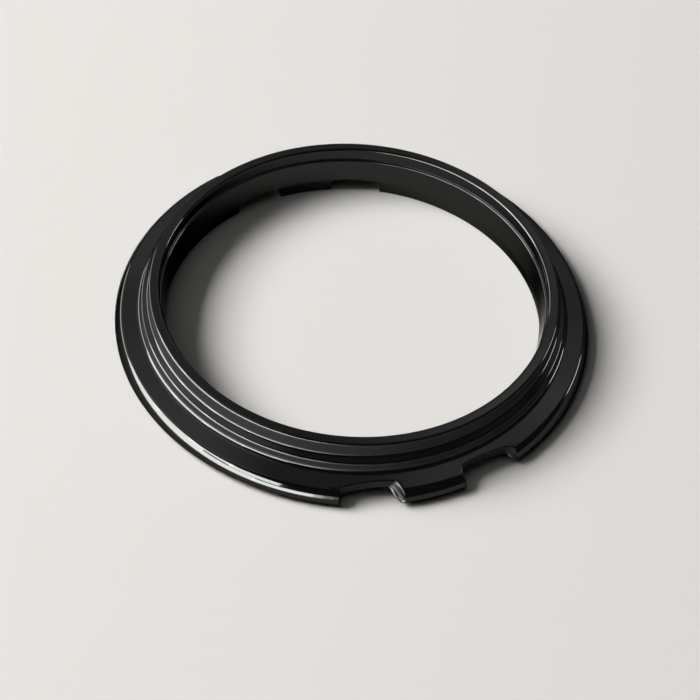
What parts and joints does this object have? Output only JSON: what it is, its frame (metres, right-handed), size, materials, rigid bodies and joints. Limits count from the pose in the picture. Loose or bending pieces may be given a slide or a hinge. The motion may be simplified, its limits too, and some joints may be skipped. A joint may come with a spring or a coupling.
{
  "type": "watch bezel",
  "caption": "Round stepped watch bezel in black: a notched ring with a sloping brim, a crystal seat in its bore, a skirt that drops over the case neck, and a rubber case seal.",
  "frame": {"origin": "on the ring's axis, at the foot of the skirt, the plane the ring stands on", "axes": "+Z along the ring's axis towards the crystal; -Y through the middle of the first tab"},
  "size_m": [0.042, 0.042, 0.0049],
  "materials": {
    "black_coated_steel": "polished",
    "seal_rubber": "matte"
  },
  "bodies": {
    "root": {"bezel_ring": "black_coated_steel", "case_seal": "seal_rubber"}
  },
  "joints": []
}
